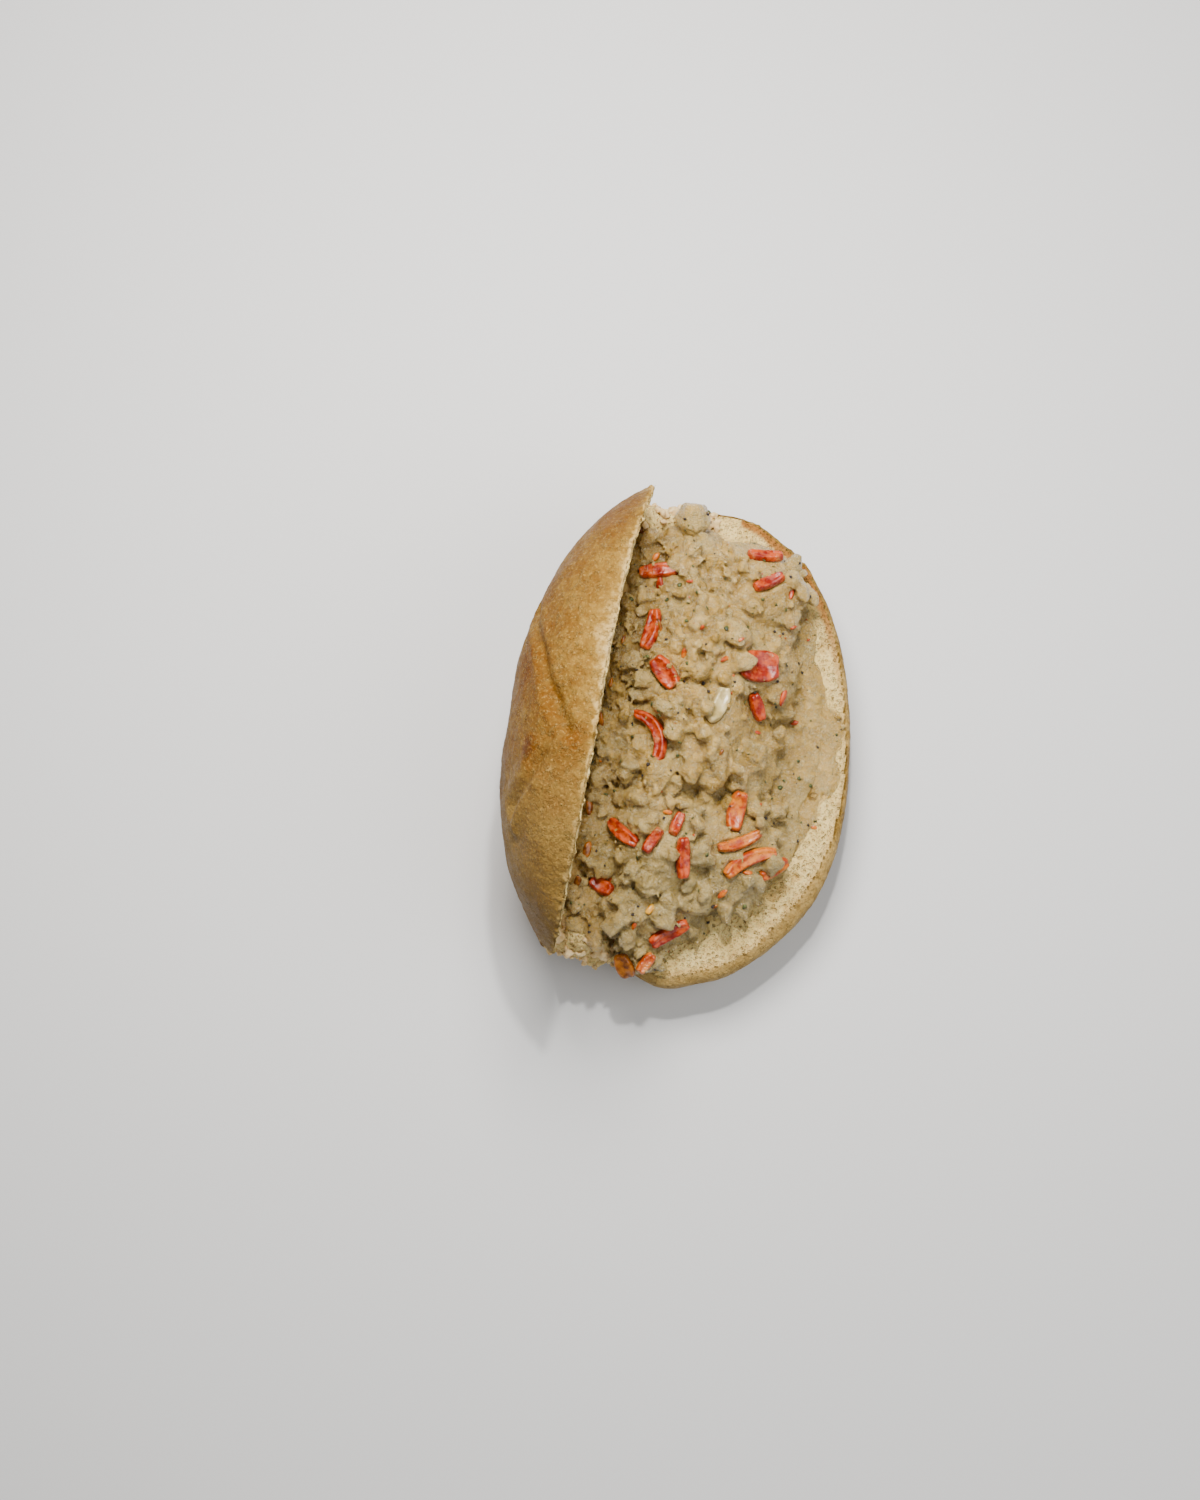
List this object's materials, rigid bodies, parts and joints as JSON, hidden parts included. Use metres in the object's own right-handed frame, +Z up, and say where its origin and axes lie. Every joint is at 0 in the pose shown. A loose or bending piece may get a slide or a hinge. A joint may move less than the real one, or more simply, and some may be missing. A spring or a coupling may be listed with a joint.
{
  "type": "turkey cheesesteak sandwich",
  "caption": "Long bread roll opened on its hinge like a book and heaped with chopped turkey, sweet pepper and onion in cheese sauce.",
  "frame": {"origin": "centre of the bounding box's underside", "axes": "+Y along the roll, +Z up, the hinge and the upright lid on the -X side"},
  "size_m": [0.1124, 0.1578, 0.1039],
  "materials": {
    "bread": "baked crust with a soft open crumb on the cut faces",
    "turkey_in_sauce": "moist chopped turkey coated in pale cheese sauce",
    "red_pepper": "cooked red pepper flesh, glossy",
    "orange_pepper": "cooked orange pepper flesh, glossy",
    "onion": "soft translucent cooked onion"
  },
  "bodies": {
    "root": {"roll": "bread", "filling": "turkey_in_sauce", "red_pepper_01": "red_pepper", "red_pepper_02": "red_pepper", "red_pepper_03": "red_pepper", "red_pepper_04": "red_pepper", "red_pepper_05": "red_pepper", "red_pepper_06": "red_pepper", "red_pepper_07": "red_pepper", "red_pepper_08": "red_pepper", "red_pepper_09": "red_pepper", "red_pepper_10": "red_pepper", "red_pepper_11": "red_pepper", "red_pepper_12": "red_pepper", "red_pepper_13": "red_pepper", "red_pepper_14": "red_pepper", "orange_pepper_01": "orange_pepper", "orange_pepper_02": "orange_pepper", "orange_pepper_03": "orange_pepper", "orange_pepper_04": "orange_pepper", "orange_pepper_05": "orange_pepper", "onion_01": "onion", "onion_02": "onion"}
  },
  "joints": []
}
